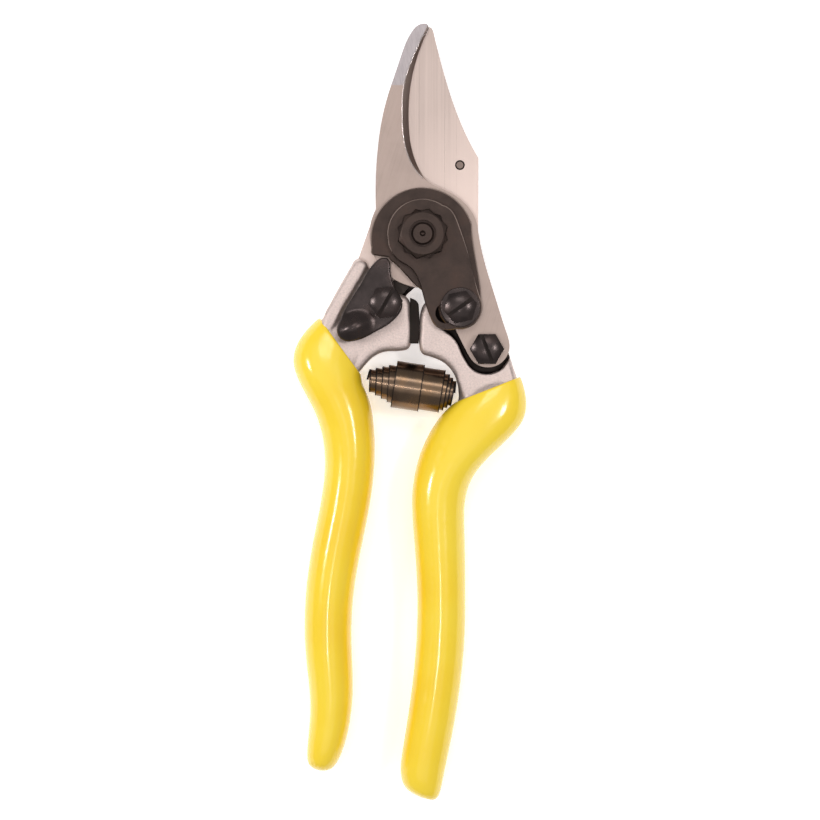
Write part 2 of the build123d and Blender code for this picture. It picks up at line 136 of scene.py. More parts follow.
class PrunerColours(bpy.types.PropertyGroup):
    """Colours of the finishes."""
    grip: colour("Grip", "Dipped vinyl", 1.0, 0.70, 0.035)
    casting: colour("Casting", "Blasted aluminium", 0.64, 0.525, 0.487)
    blade: colour("Blade", "Ground cutting blade", 0.53, 0.425, 0.383)
    hook: colour("Hook", "Satin hook blade", 0.405, 0.315, 0.278)
    hook_tip: colour("Hook tip", "Ground flat of the hook blade's tip", 0.385, 0.34, 0.345)
    # Brighter than the hook: a painted highlight along its rounded inner edge.
    polished: colour("Polished edge", "Rounded inner edge of the hook blade", 0.62, 0.55, 0.53)
    # Darker than the hook: painted shade on the bevel.
    shaded_hook_bevel: colour("Hook bevel", "Bevel inside the hook blade", 0.20, 0.15, 0.13)
    oxide: colour("Black oxide", "Plates and nut", 0.052, 0.034, 0.028)
    # On the plates' chamfers this paler colour is partly wear and partly a painted highlight; on the stop
    # pin it is the pin's own colour.
    worn: colour("Worn oxide", "Edges rubbed bright, and the stop pin", 0.24, 0.18, 0.155)
    screw: colour("Screws", "Bright black screws and catch", 0.05, 0.037, 0.035)
    spring: colour("Spring", "Tempered strip", 0.17, 0.115, 0.078)
    rubber: colour("Rubber", "Stop between the handles", 0.014, 0.009, 0.007)
    # Painted shade: this dark colour goes in the slots, pocket, gaps and recesses, on the pin's chamfer and
    # along the spring's steps.
    painted_shade: colour("Grime", "Oil and dirt in the slots and gaps", 0.022, 0.015, 0.013)
    steel: colour("Plain steel", "Washers and the screw at the back", 0.60, 0.56, 0.53)
    floor: colour("Floor", "Bench and backdrop", 0.93, 0.93, 0.93)


class PrunerStage(bpy.types.PropertyGroup):
    """The stage round the pruner."""
    view_width: size("View width", "Width of the bench that the camera takes in", 221.4)
    camera_height: size("Camera height", "Height of the camera over the bench", 1100.0)
    overhead: FloatProperty(name="Overhead light", description="Power of the broad light overhead",
                            default=6.8, min=0.0, unit="POWER")
    strip_light: FloatProperty(name="Strip lights", description="Power of the strip light at the left",
                               default=1.8, min=0.0, unit="POWER")
    sky: FloatProperty(name="Surround", description="Strength of the even light all round", default=0.35,
                       min=0.0)
    table: FloatProperty(name="Table light", description="Strength of the light that the table gives off",
                         default=0.45, min=0.0)


# ---------------------------------------------------------------- materials

class Finish:
    """A material being built: a shader, and the nodes that feed it."""

    def __init__(self, name, base, metallic, roughness):
        self.material = bpy.data.materials.new(name)
        self.material.use_nodes = True
        self.tree = self.material.node_tree
        self.shader = self.tree.nodes["Principled BSDF"]
        self.shader.inputs["Base Color"].default_value = (*base, 1)
        self.shader.inputs["Metallic"].default_value = metallic
        self.shader.inputs["Roughness"].default_value = roughness
        self.place = self.tree.nodes.new("ShaderNodeTexCoord").outputs["Object"]

    def stretched(self, x, y, z, turn=0.0):
        """Coordinates scaled by three factors, turned in plan first."""
        spun = self.tree.nodes.new("ShaderNodeMapping")
        spun.inputs["Rotation"].default_value = (0, 0, turn)
        mapped = self.tree.nodes.new("ShaderNodeMapping")
        mapped.inputs["Scale"].default_value = (x, y, z)
        self.tree.links.new(self.place, spun.inputs["Vector"])
        self.tree.links.new(spun.outputs["Vector"], mapped.inputs["Vector"])
        return mapped.outputs["Vector"]

    def noise(self, scale, detail=3.0, rough=0.5, where=None):
        """A cloudy pattern, from 0 to 1."""
        made = self.tree.nodes.new("ShaderNodeTexNoise")
        made.inputs["Scale"].default_value = scale
        made.inputs["Detail"].default_value = detail
        made.inputs["Roughness"].default_value = rough
        self.tree.links.new(where or self.place, made.inputs["Vector"])
        return made.outputs["Fac"]

    def grains(self, scale, where=None):
        """A pattern of separate grains, each with a value of its own."""
        made = self.tree.nodes.new("ShaderNodeTexVoronoi")
        made.inputs["Scale"].default_value = scale
        self.tree.links.new(where or self.place, made.inputs["Vector"])
        return made.outputs["Distance"]

    def spread(self, pattern, low, high, start=0.3, end=0.7):
        """The pattern's values from start to end, spread from low to high."""
        made = self.tree.nodes.new("ShaderNodeMapRange")
        for socket, value in (("From Min", start), ("From Max", end), ("To Min", low), ("To Max", high)):
            made.inputs[socket].default_value = value
        self.tree.links.new(pattern, made.inputs["Value"])
        return made.outputs["Result"]

    def product(self, one, other):
        """Two patterns multiplied."""
        made = self.tree.nodes.new("ShaderNodeMath")
        made.operation = "MULTIPLY"
        self.tree.links.new(one, made.inputs[0])
        self.tree.links.new(other, made.inputs[1])
        return made.outputs["Value"]

    def tint(self, pattern, *colours, start=0.3, end=0.7):
        """Base colour that runs through the colours as the pattern rises."""
        made = self.tree.nodes.new("ShaderNodeValToRGB")
        ramp = made.color_ramp
        step = (end - start) / (len(colours) - 1)
        while len(ramp.elements) < len(colours):
            ramp.elements.new(0.5)
        for number, shade in enumerate(colours):
            ramp.elements[number].position = start + number * step
            ramp.elements[number].color = (*shade, 1)
        self.tree.links.new(pattern, made.inputs["Fac"])
        return made.outputs["Color"]

    def mixed(self, share, one, other):
        """One colour where the share is 0, and the other where it is 1."""
        made = self.tree.nodes.new("ShaderNodeMix")
        made.data_type = "RGBA"
        self.tree.links.new(share, made.inputs["Factor"])
        for value, socket in ((one, made.inputs["A"]), (other, made.inputs["B"])):
            if isinstance(value, bpy.types.NodeSocket):
                self.tree.links.new(value, socket)
            else:
                socket.default_value = (*value, 1)
        return made.outputs["Result"]

    def along(self, way, begin, end):
        """How far a point has come along a direction: 0 up to begin and 1 from end, in metres."""
        made = self.tree.nodes.new("ShaderNodeVectorMath")
        made.operation = "DOT_PRODUCT"
        made.inputs[1].default_value = Vector(way).normalized()
        self.tree.links.new(self.place, made.inputs[0])
        return self.spread(made.outputs["Value"], 0.0, 1.0, begin, end)

    def colour(self, value):
        """Feeds the shader's base colour."""
        self.tree.links.new(value, self.shader.inputs["Base Color"])

    def roughness(self, value):
        """Feeds the shader's roughness."""
        self.tree.links.new(value, self.shader.inputs["Roughness"])

    def bumps(self, *layers):
        """Relief from several patterns, each with a depth in metres and a strength."""
        before = None
        for pattern, depth, strength in layers:
            made = self.tree.nodes.new("ShaderNodeBump")
            made.inputs["Distance"].default_value = depth
            made.inputs["Strength"].default_value = strength
            self.tree.links.new(pattern, made.inputs["Height"])
            if before:
                self.tree.links.new(before, made.inputs["Normal"])
            before = made.outputs["Normal"]
        self.tree.links.new(before, self.shader.inputs["Normal"])


def shade(base, factor):
    """A colour made lighter or darker."""
    return tuple(min(1.0, part * factor) for part in base)


def dipped_vinyl(base):
    """Glossy dipped vinyl: even colour, faint clouding, a slightly rippled skin."""
    made = Finish("dipped_vinyl", base, 0.0, 0.16)
    cloud = made.noise(45, 2.0)
    red, green, blue = base
    deep = (red * 0.98, green * 0.93, blue * 0.8)
    pale = (red, green * 1.04, blue * 1.4)
    made.colour(made.tint(cloud, deep, base, pale))
    made.roughness(made.spread(made.noise(600, 3.0), 0.14, 0.26))
    made.shader.inputs["Coat Weight"].default_value = 0.25
    made.shader.inputs["Coat Roughness"].default_value = 0.05
    made.bumps((made.noise(110, 2.0), 0.0003, 0.08))
    return made.material


def blasted_aluminium(base):
    """Bead-blasted casting: fine grain, paler and darker specks, soft sheen."""
    made = Finish("blasted_aluminium", base, 0.85, 0.5)
    grain = made.noise(1900, 4.0, 0.7)
    speck = made.grains(1500)
    stain = made.noise(120, 4.0, 0.6)
    fine = made.tint(grain, shade(base, 0.84), base, shade(base, 1.14), start=0.35, end=0.65)
    worn = made.mixed(made.spread(stain, 0.0, 0.3, 0.45, 0.75), fine, shade(base, 0.84))
    made.colour(worn)
    made.roughness(made.spread(grain, 0.40, 0.62))
    made.bumps((grain, 0.00012, 0.5), (speck, 0.00008, 0.35))
    return made.material


def ground_steel(name, base, along, across, turn, rough, depth, patch, tip=None, way=None, painted_shadow=None):
    """Steel ground in one direction: long fine scratches and faint broad bands. A tip colour is that
    of its far end; way is a direction in which it gets slightly paler, as painted light; and the last
    direction is one in which it turns black, as painted shade."""
    made = Finish(name, base, 1.0, rough)
    lines = made.noise(1.0, 5.0, 0.75, made.stretched(across, along, 200, turn))
    bands = made.noise(1.0, 2.0, 0.5, made.stretched(across * 0.12, along * 0.4, 60, turn))
    cloud = made.noise(90, 4.0, 0.6)
    streaked = made.tint(lines, shade(base, 0.88), base, shade(base, 1.08), start=0.3, end=0.7)
    banded = made.mixed(made.spread(bands, 0.0, 0.13, 0.4, 0.75), streaked, shade(base, 0.84))
    final = made.mixed(made.spread(cloud, 0.0, patch, 0.5, 0.8), banded, shade(base, 0.7))
    if tip:
        step = made.along((0.0, 1.0, 0.0), 40.15 * MM, 40.3 * MM)
        cross = made.noise(1.0, 4.0, 0.7, made.stretched(2600, 300, 200, radians(-12)))
        final = made.mixed(step, final, made.tint(cross, shade(tip, 0.86), tip, shade(tip, 1.1)))
    # Paler along this direction: painted light.
    if way:
        toward, begin, end = way
        final = made.mixed(made.along(toward, begin, end), final, shade(base, 1.32))
    # Black along this direction: painted shade.
    if painted_shadow:
        final = made.mixed(made.along(*painted_shadow), final, shade(base, 0.08))
    made.colour(final)
    made.roughness(made.spread(lines, rough * 0.78, rough * 1.3))
    made.bumps((lines, depth, 0.45), (bands, depth * 3, 0.1))
    return made.material


def black_oxide(name, base, rough, wear, skin=0.35):
    """Steel blackened in a bath: brownish, faintly mottled, rubbed paler in places. skin is the
    strength of its fine grain."""
    made = Finish(name, base, 0.75, rough)
    cloud = made.noise(160, 5.0, 0.65)
    grain = made.noise(2600, 3.0, 0.6)
    red, green, blue = base
    brown = (red * 1.3, green * 1.2, blue * 1.15)
    mottled = made.tint(cloud, shade(base, 0.72), base, brown, start=0.32, end=0.7)
    rubbed = made.product(made.spread(made.noise(420, 6.0, 0.8), 0.0, 1.0, 0.56, 0.72),
                          made.spread(cloud, 0.0, wear, 0.45, 0.65))
    made.colour(made.mixed(rubbed, mottled, (red * 2.6 + 0.04, green * 2.6 + 0.035, blue * 2.6 + 0.03)))
    made.roughness(made.spread(cloud, rough * 0.8, rough * 1.25))
    made.bumps((grain, 0.00004, skin), (cloud, 0.0002, 0.06))
    return made.material


def tempered_strip(base):
    """Spring strip with heat colours that change along it, and faint drawn lines round it."""
    made = Finish("tempered_strip", base, 1.0, 0.26)
    way = radians(9)
    rings = made.noise(1.0, 1.0, 0.5, made.stretched(230, 120, 120, way))
    lines = made.noise(1.0, 2.0, 0.6, made.stretched(1600, 90, 90, way))
    red, green, blue = base
    heat = made.tint(rings, (red * 0.75, green * 0.72, blue * 0.72), base, (red * 1.25, green * 1.15, blue),
                     start=0.3, end=0.7)
    made.colour(made.mixed(made.spread(lines, 0.0, 0.12, 0.5, 0.8), heat, shade(base, 0.5)))
    made.roughness(made.spread(lines, 0.2, 0.26))
    made.bumps((lines, 0.000004, 0.15))
    return made.material


def moulded_rubber(base):
    """Dark moulded rubber, dull and faintly dusty."""
    made = Finish("moulded_rubber", base, 0.0, 0.6)
    dust = made.noise(900, 5.0, 0.7)
    made.colour(made.tint(dust, base, shade(base, 1.6), shade(base, 3), start=0.4, end=0.85))
    made.roughness(made.spread(dust, 0.6, 0.85))
    made.shader.inputs["Specular IOR Level"].default_value = 0.2
    made.bumps((dust, 0.0001, 0.3))
    return made.material


def bench_top(base, glow):
    """Plain pale light table under the pruner."""
    made = Finish("bench_top", base, 0.0, 0.9)
    made.shader.inputs["Emission Color"].default_value = (1, 1, 1, 1)
    made.shader.inputs["Emission Strength"].default_value = glow
    made.colour(made.tint(made.noise(6, 2.0), shade(base, 0.99), base))
    return made.material


def coat(piece, material):
    """Gives a piece one material all over."""
    piece.data.materials.clear()
    piece.data.materials.append(material)
    for face in piece.data.polygons:
        face.material_index = 0


def coat_where(piece, material, test):
    """Gives one more material to the faces that the test holds for."""
    piece.data.materials.append(material)
    for face in piece.data.polygons:
        if test(face.center, face.normal):
            face.material_index = len(piece.data.materials) - 1


def coat_small(piece, material, area):
    """Gives one more material to the faces smaller than an area."""
    piece.data.materials.append(material)
    for face in piece.data.polygons:
        if face.area < area:
            face.material_index = len(piece.data.materials) - 1


FINISHES = {}


def finish_of(key):
    """The material of that name, made on its first use."""
    colours = bpy.context.scene.pruner_colours
    makers = {
        "grip": lambda: dipped_vinyl(colours.grip),
        "casting": lambda: blasted_aluminium(colours.casting),
        # The blade is paler towards its lower right as painted light, and black where its tang shows below
        # the hub, as painted shade.
        "blade": lambda: ground_steel("ground_blade", colours.blade, 9, 4200, 0.0, 0.34, 0.00003, 0.2,
                                      way=((0.7, -0.7, 0.0), -22 * MM, 4 * MM),
                                      painted_shadow=((0.0, -1.0, 0.0), 12.0 * MM, 12.3 * MM)),
        "hook": lambda: ground_steel("satin_hook", colours.hook, 60, 2600, radians(18), 0.42, 0.00003, 0.35,
                                     tip=colours.hook_tip),
        # The bevel is darker than the hook as painted shade, and grows paler towards its lower end as a
        # painted highlight.
        "bevel": lambda: ground_steel("shaded_hook_bevel", colours.shaded_hook_bevel, 30, 3000, 0.0, 0.3, 0.00003, 0.2,
                                      way=((0.0, -1.0, 0.0), -24 * MM, -12 * MM)),
        # The rounded edge is brighter than the hook as a painted highlight.
        "polished": lambda: ground_steel("rounded_edge_highlight", colours.polished, 200, 900, 0.0, 0.2, 0.00001,
                                         0.1),
        # Paler on the plates' chamfers, partly as wear and partly as a painted highlight; the stop pin's
        # own colour.
        "worn": lambda: ground_steel("worn_oxide_and_highlight", colours.worn, 200, 1600, 0.3, 0.3, 0.00002, 0.5),
        # Dark painted shade for the slots, gaps and recesses.
        "painted_shade": lambda: black_oxide("painted_dark_shade", colours.painted_shade, 0.5, 0.2),
        "oxide": lambda: black_oxide("black_oxide", colours.oxide, 0.42, 0.25),
        "screw": lambda: black_oxide("bright_black", colours.screw, 0.25, 0.04, skin=0.015),
        "spring": lambda: tempered_strip(colours.spring),
        "rubber": lambda: moulded_rubber(colours.rubber),
        "steel": lambda: ground_steel("plain_steel", colours.steel, 300, 1800, 0.4, 0.36, 0.00002, 0.3),
        "floor": lambda: bench_top(colours.floor, bpy.context.scene.pruner_stage.table),
    }
    if key not in FINISHES:
        FINISHES[key] = makers[key]()
    return FINISHES[key]


# ---------------------------------------------------------------- modelling helpers

def start():
    """Object mode, with nothing selected."""
    if bpy.context.object and bpy.context.object.mode != "OBJECT":
        bpy.ops.object.mode_set(mode="OBJECT")
    bpy.ops.object.select_all(action="DESELECT")


def only(piece):
    """Selects one piece and makes it active."""
    start()
    piece.select_set(True)
    bpy.context.view_layer.objects.active = piece
    return piece


def settle(name):
    """Names the active piece and works its place into its mesh."""
    piece = bpy.context.object
    piece.name = name
    piece.data.name = name
    bpy.ops.object.transform_apply(location=True, rotation=True, scale=True)
    return piece


def modified(piece, kind, **settings):
    """Adds a modifier, sets it and applies it."""
    only(piece)
    made = piece.modifiers.new(kind.title(), kind)
    for key, value in settings.items():
        setattr(made, key, value)
    bpy.ops.object.modifier_apply(modifier=made.name)
    return piece


def smooth(piece, degrees=None):
    """Smooth shading, up to an angle if one is given."""
    only(piece)
    if degrees is None:
        bpy.ops.object.shade_smooth()
    else:
        bpy.ops.object.shade_smooth_by_angle(angle=radians(degrees))
    return piece


def turn(angle, centre, axis="Z"):
    """Turns what is selected about a point, by the right-hand rule: with no window the operator turns
    the other way."""
    way = -1 if bpy.app.background else 1
    bpy.ops.transform.rotate(value=way * angle, orient_axis=axis, center_override=centre)


def pick(piece, test):
    """In edit mode, selects the vertices that the test holds for."""
    bpy.ops.mesh.select_all(action="DESELECT")
    bpy.ops.object.mode_set(mode="OBJECT")
    for vertex in piece.data.vertices:
        vertex.select = test(vertex.co, vertex.index)
    bpy.ops.object.mode_set(mode="EDIT")


def joined(pieces, name):
    """Several pieces made one."""
    only(pieces[0])
    for piece in pieces:
        piece.select_set(True)
    bpy.ops.object.join()
    return settle(name)


def cut(piece, cutter):
    """Takes the cutter's shape out of a piece, and removes the cutter."""
    modified(piece, "BOOLEAN", operation="DIFFERENCE", solver="EXACT", object=cutter)
    bpy.data.objects.remove(cutter)
    return piece


def inside(outline, x, y):
    """Whether a point of the plan lies within an outline, both in the same unit."""
    count = 0
    for (x1, y1), (x2, y2) in zip(outline, outline[1:] + outline[:1]):
        if (y1 > y) != (y2 > y) and x < x1 + (y - y1) * (x2 - x1) / (y2 - y1):
            count += 1
    return count % 2 == 1


def bar(name, centre, radius, low, high, vertices=64):
    """An upright round bar."""
    start()
    place = (centre[0] * MM, centre[1] * MM, (low + high) / 2 * MM)
    bpy.ops.mesh.primitive_cylinder_add(vertices=vertices, radius=radius * MM, depth=(high - low) * MM,
                                        location=place)
    return settle(name)


def flat_plate(name, knots, low, high, rounding, sharp=()):
    """A plate with a smooth outline through the knots and rounded rims, made from a filled curve.
    Millimetres. Knots whose numbers are in sharp keep their corners."""
    start()
    bpy.ops.curve.primitive_bezier_circle_add(radius=1)
    curve = bpy.context.object
    curve.data.dimensions = "2D"
    curve.data.fill_mode = "BOTH"
    spline = curve.data.splines[0]
    spline.bezier_points.add(len(knots) - len(spline.bezier_points))
    for point, (x, y) in zip(spline.bezier_points, knots):
        point.co = (x * MM, y * MM, 0)
        point.handle_left_type = point.handle_right_type = "AUTO"
    for number in sharp:
        point = spline.bezier_points[number]
        point.handle_left_type = point.handle_right_type = "VECTOR"
    spline.resolution_u = 10
    curve.data.extrude = (high - low) / 2 * MM - rounding
    curve.data.bevel_depth = rounding
    curve.data.bevel_resolution = 4
    curve.data.offset = -rounding
    curve.location.z = (low + high) / 2 * MM
    bpy.ops.object.convert(target="MESH")
    piece = settle(name)
    bpy.ops.object.mode_set(mode="EDIT")
    bpy.ops.mesh.select_all(action="SELECT")
    bpy.ops.mesh.remove_doubles(threshold=0.00001)
    bpy.ops.mesh.normals_make_consistent(inside=False)
    bpy.ops.object.mode_set(mode="OBJECT")
    return piece


def ring_tube(name, rings, corners=RING_CORNERS):
    """A tube extruded ring by ring, open at its first ring and closed at its last, to be subdivided.
    A ring is its two edges on the plan, its lowest and highest level and how square it is.
    Millimetres."""
    grown = 3 / (2 + cos(2 * pi / corners))
    places = []
    for (x1, y1), (x2, y2), low, high, square in rings:
        centre = Vector(((x1 + x2) / 2, (y1 + y2) / 2, (low + high) / 2)) * MM
        wide = Vector((x2 - x1, y2 - y1)).length / 2 * grown
        places.append((centre, atan2(y2 - y1, x2 - x1), wide, (high - low) / 2, square))
    start()
    centre, angle, wide, tall, square = places[0]
    bpy.ops.mesh.primitive_circle_add(vertices=corners, radius=MM, location=centre, rotation=(pi / 2, 0, 0))
    piece = settle(name)
    bpy.ops.object.mode_set(mode="EDIT")
    bpy.ops.mesh.select_all(action="SELECT")
    bpy.ops.transform.resize(value=(wide, 1, tall), center_override=centre)
    turn(angle, centre)
    for number, (centre, angle, wide, tall, square) in enumerate(places[1:]):
        old_centre, old_angle, old_wide, old_tall, old_square = places[number]
        bpy.ops.mesh.extrude_region_move(TRANSFORM_OT_translate={"value": centre - old_centre})
        turn(-old_angle, centre)
        bpy.ops.transform.resize(value=(wide / old_wide, 1, tall / old_tall), center_override=centre)
        turn(angle, centre)
    bpy.ops.mesh.edge_face_add()
    for number, (centre, angle, wide, tall, square) in enumerate(places):
        first = number * corners
        diagonals = [first + quarter * corners // 4 + corners // 8 for quarter in range(4)]
        pick(piece, lambda point, index: index in diagonals)
        bpy.ops.transform.resize(value=(square, square, square), center_override=centre)
    bpy.ops.mesh.select_all(action="SELECT")
    bpy.ops.mesh.normals_make_consistent(inside=False)
    bpy.ops.object.mode_set(mode="OBJECT")
    return piece


# ---------------------------------------------------------------- grips and castings

# Cross-sections from each grip's mouth to its end: two edges on the plan, lowest and highest
# level, and how far the corners stand out.
BLADE_GRIP = [
    ((-27.8, -22.3), (-16.6, -37.5), 1.9, 14.6, 1.12),
    ((-29.0, -23.3), (-16.6, -38.0), 1.6, 14.9, 1.11),
    ((-33.6, -27.9), (-16.4, -39.8), 0.8, 16.1, 1.08),
    ((-35.9, -34.8), (-15.2, -42.6), 0.1, 16.9, 1.04),
    ((-31.7, -42.9), (-14.1, -45.0), 0.0, 17.0, 1.02),
    ((-27.6, -50.2), (-13.0, -51.2), 0.0, 17.0, 1.02),
    ((-25.8, -61.0), (-12.7, -60.8), 0.0, 17.0, 1.02),
    ((-27.4, -72.6), (-13.9, -72.6), 0.0, 17.0, 1.02),
    ((-30.1, -84.6), (-17.0, -86.4), 0.0, 17.0, 1.02),
    ((-32.0, -98.6), (-19.2, -99.4), 0.1, 16.9, 1.02),
    ((-31.9, -112.6), (-19.2, -112.2), 0.3, 16.7, 1.02),
    ((-30.2, -124.0), (-18.5, -122.6), 0.6, 16.4, 1.02),
    ((-30.4, -132.0), (-19.6, -133.2), 1.2, 15.8, 1.02),
    ((-31.3, -138.8), (-22.0, -141.0), 1.8, 15.2, 1.02),
    ((-31.2, -144.2), (-24.9, -145.5), 3.8, 13.2, 1.0),
]
HOOK_GRIP = [
    ((9.2, -44.8), (26.4, -38.2), 1.9, 14.8, 1.12),
    ((8.4, -45.5), (26.8, -39.2), 1.6, 15.1, 1.11),
    ((5.2, -48.2), (28.2, -43.8), 0.8, 16.1, 1.08),
    ((1.7, -53.4), (28.0, -50.2), 0.1, 16.9, 1.04),
    ((-0.8, -59.0), (21.9, -56.3), 0.0, 17.0, 1.02),
    ((-2.5, -65.6), (13.3, -64.2), 0.0, 17.0, 1.02),
    ((-3.1, -72.4), (11.0, -72.2), 0.0, 17.0, 1.02),
    ((-2.3, -82.0), (11.5, -82.2), 0.0, 17.0, 1.02),
    ((-1.3, -96.0), (11.6, -96.0), 0.1, 16.9, 1.02),
    ((-1.5, -108.0), (11.6, -108.0), 0.2, 16.8, 1.02),
    ((-2.5, -120.0), (10.4, -121.0), 0.4, 16.6, 1.02),
    ((-4.4, -133.0), (8.3, -134.2), 0.8, 16.2, 1.02),
    ((-6.0, -142.2), (5.9, -144.8), 1.6, 15.4, 1.02),
    ((-6.0, -146.4), (5.0, -150.0), 2.2, 14.8, 1.04),
    ((-4.6, -150.3), (3.6, -153.75), 4.0, 13.0, 1.02),
]
# The ring where each casting's flat body starts to swell into its core.
BLADE_SWELL = ((-22.4, -15.4), (-9.8, -29.0), 3.6, 11.6, 1.12)
HOOK_SWELL = ((8.4, -34.4), (23.4, -31.8), 3.6, 7.6, 1.12)


def narrowed(rings, by):
    """The rings a wall's thickness smaller all round."""
    inner = []
    for one, other, low, high, square in rings:
        first, second = Vector(one), Vector(other)
        step = (second - first).normalized() * by
        inner.append((first + step, second - step, low + by, high - by, square))
    return inner


def make_grip(name, rings):
    """A dipped sleeve: its wall goes inwards, and its mouth's rim is rounded."""
    wall = bpy.context.scene.pruner_sizes.grip_wall
    grip = ring_tube(name, rings)
    modified(grip, "SOLIDIFY", thickness=wall, offset=-1, use_even_offset=True)
    modified(grip, "SUBSURF", levels=3, render_levels=3)
    return smooth(grip)


def make_core(swell, rings):
    """The part of a casting that fills its grip, closed at both ends."""
    core = ring_tube("core", [swell] + narrowed(rings[:CORE_RINGS], CORE_INSET))
    only(core)
    bpy.ops.object.mode_set(mode="EDIT")
    pick(core, lambda point, index: index < RING_CORNERS)
    bpy.ops.mesh.edge_face_add()
    bpy.ops.object.mode_set(mode="OBJECT")
    return modified(core, "SUBSURF", levels=2, render_levels=2)


def cast(pieces, name, grain, melt):
    """Overlapping shapes made one casting, its edges melted soft."""
    casting = joined(pieces, name)
    modified(casting, "REMESH", mode="VOXEL", voxel_size=grain)
    modified(casting, "SMOOTH", factor=0.5, iterations=melt)
    return smooth(casting)


# Outlines on the plan, in millimetres.
BLADE_PLAN = [(-27.0, -25.0), (-26.6, -22.2), (-24.9, -18.6), (-21.8, -12.9), (-19.3, -8.6), (-18.3, -6.9),
              (-16.8, -6.5), (-15.4, -7.8), (-11.9, -12.7), (-7.6, -15.7), (-4.6, -16.6), (-3.5, -18.0),
              (-3.2, -21.0), (-3.1, -28.6), (-3.8, -30.7), (-6.0, -31.3), (-10.4, -31.6), (-13.4, -33.0),
              (-15.6, -35.2), (-17.4, -37.2), (-20.5, -38.5), (-25.0, -34.0)]
HOOK_PLAN = [(3.2, -17.5), (1.0, -18.1), (-0.3, -20.0), (-0.8, -25.6), (-0.9, -29.8), (-0.2, -32.0),
             (2.2, -32.9), (5.6, -34.4), (8.4, -37.4), (9.7, -41.0), (11.4, -44.6), (20.0, -45.0),
             (25.2, -40.5), (25.0, -38.0), (24.0, -34.4), (22.6, -29.4), (20.4, -22.0), (18.3, -14.6),
             (16.6, -12.3), (14.0, -12.2), (9.0, -15.6)]
POCKET_PLAN = [(30.0, -10.0), (2.2, -10.0), (2.2, -19.6), (4.3, -24.3), (8.8, -28.6), (11.2, -33.4),
               (13.6, -36.5), (17.4, -37.6), (21.2, -36.4), (23.6, -33.2), (30.0, -32.0)]
RIDGE_PLAN = [(-27.2, -25.4), (-26.4, -21.6), (-24.6, -18.2), (-21.6, -12.9), (-19.1, -8.7), (-17.9, -7.1),
              (-16.2, -6.9), (-14.9, -8.2), (-15.4, -10.0), (-18.0, -14.6), (-21.4, -20.4), (-24.0, -25.6),
              (-25.8, -27.4)]
WEB_PLAN = [(-13.6, 3.0), (-17.9, -8.6), (-5.5, -17.2), (-1.6, -13.6), (0.0, 0.0), (-6.0, 6.0)]

# The gap round the hub, cut into the left casting: an arc between two radii. Its floor gets painted shade.
GAP_INNER = 14.4
GAP_OUTER = 15.7
GAP_ANGLES = [radians(-130 + 5 * number) for number in range(9)]
GAP_PLAN = ([(GAP_INNER * cos(angle), GAP_INNER * sin(angle)) for angle in GAP_ANGLES]
            + [(GAP_OUTER * cos(angle), GAP_OUTER * sin(angle)) for angle in reversed(GAP_ANGLES)])
NO_ROUNDING = 0.0001 * MM


def make_blade_casting(sizes):
    """The left casting: flat body, hub behind the blade, and a core that fills the grip."""
    body = flat_plate("body", BLADE_PLAN, CASTING_LOW, BLADE_CASTING_TOP, sizes.casting_round)
    web = flat_plate("web", WEB_PLAN, CASTING_LOW, HUB_TOP, 0.4 * MM, sharp=range(len(WEB_PLAN)))
    hub = bar("hub", (0, 0), HUB_RADIUS, CASTING_LOW, HUB_TOP, 128)
    core = make_core(BLADE_SWELL, BLADE_GRIP)
    ridge = flat_plate("ridge", RIDGE_PLAN, RIDGE_LOW, RIDGE_TOP, 1.3 * MM)
    casting = cast([body, web, hub, core, ridge], "blade_casting", sizes.casting_grain, 7)
    cut(casting, bar("axle", (0, 0), AXLE_RADIUS, 0, 9))
    cut(casting, flat_plate("gap", GAP_PLAN, 3.4, 9.0, NO_ROUNDING, sharp=(0, 8, 9, 17)))
    return casting


def make_hook_casting(sizes):
    """The right casting: a body with a pocket for the hook's tail, and a core that fills the grip."""
    body = flat_plate("body", HOOK_PLAN, CASTING_LOW, HOOK_CASTING_TOP, sizes.casting_round)
    core = make_core(HOOK_SWELL, HOOK_GRIP)
    pocket = flat_plate("pocket", POCKET_PLAN, POCKET_FLOOR, 22.0, NO_ROUNDING, sharp=(0, 1, 2, 9, 10))
    joint = cast([body, core], "hook_casting", sizes.casting_grain, 1)
    cut(joint, pocket)
    modified(joint, "REMESH", mode="VOXEL", voxel_size=sizes.casting_grain)
    modified(joint, "SMOOTH", factor=0.5, iterations=6)
    return smooth(joint)


# ---------------------------------------------------------------- catch, spring, stop

CATCH_PLAN = [(-11.3, -6.4), (-9.4, -6.5), (-8.7, -7.8), (-8.6, -10.4), (-7.5, -14.2), (-5.7, -17.4),
              (-5.5, -19.8), (-7.6, -23.0), (-12.6, -26.3), (-18.4, -28.8), (-21.4, -28.6), (-23.0, -26.4),
              (-21.9, -22.4), (-16.9, -13.8), (-13.4, -8.2)]
CATCH_PIVOT = (-9.9, -18.5)
# The hump: its middle and half length and width in millimetres, its lean in degrees, and the number
# of steps in which it is raised.
HUMP_MIDDLE = (-18.6, -25.2)
HUMP_LENGTH = 7.0
HUMP_WIDTH = 4.9
HUMP_LEAN = 31
HUMP_STEPS = 20
HUMP_ABOVE = 14.4


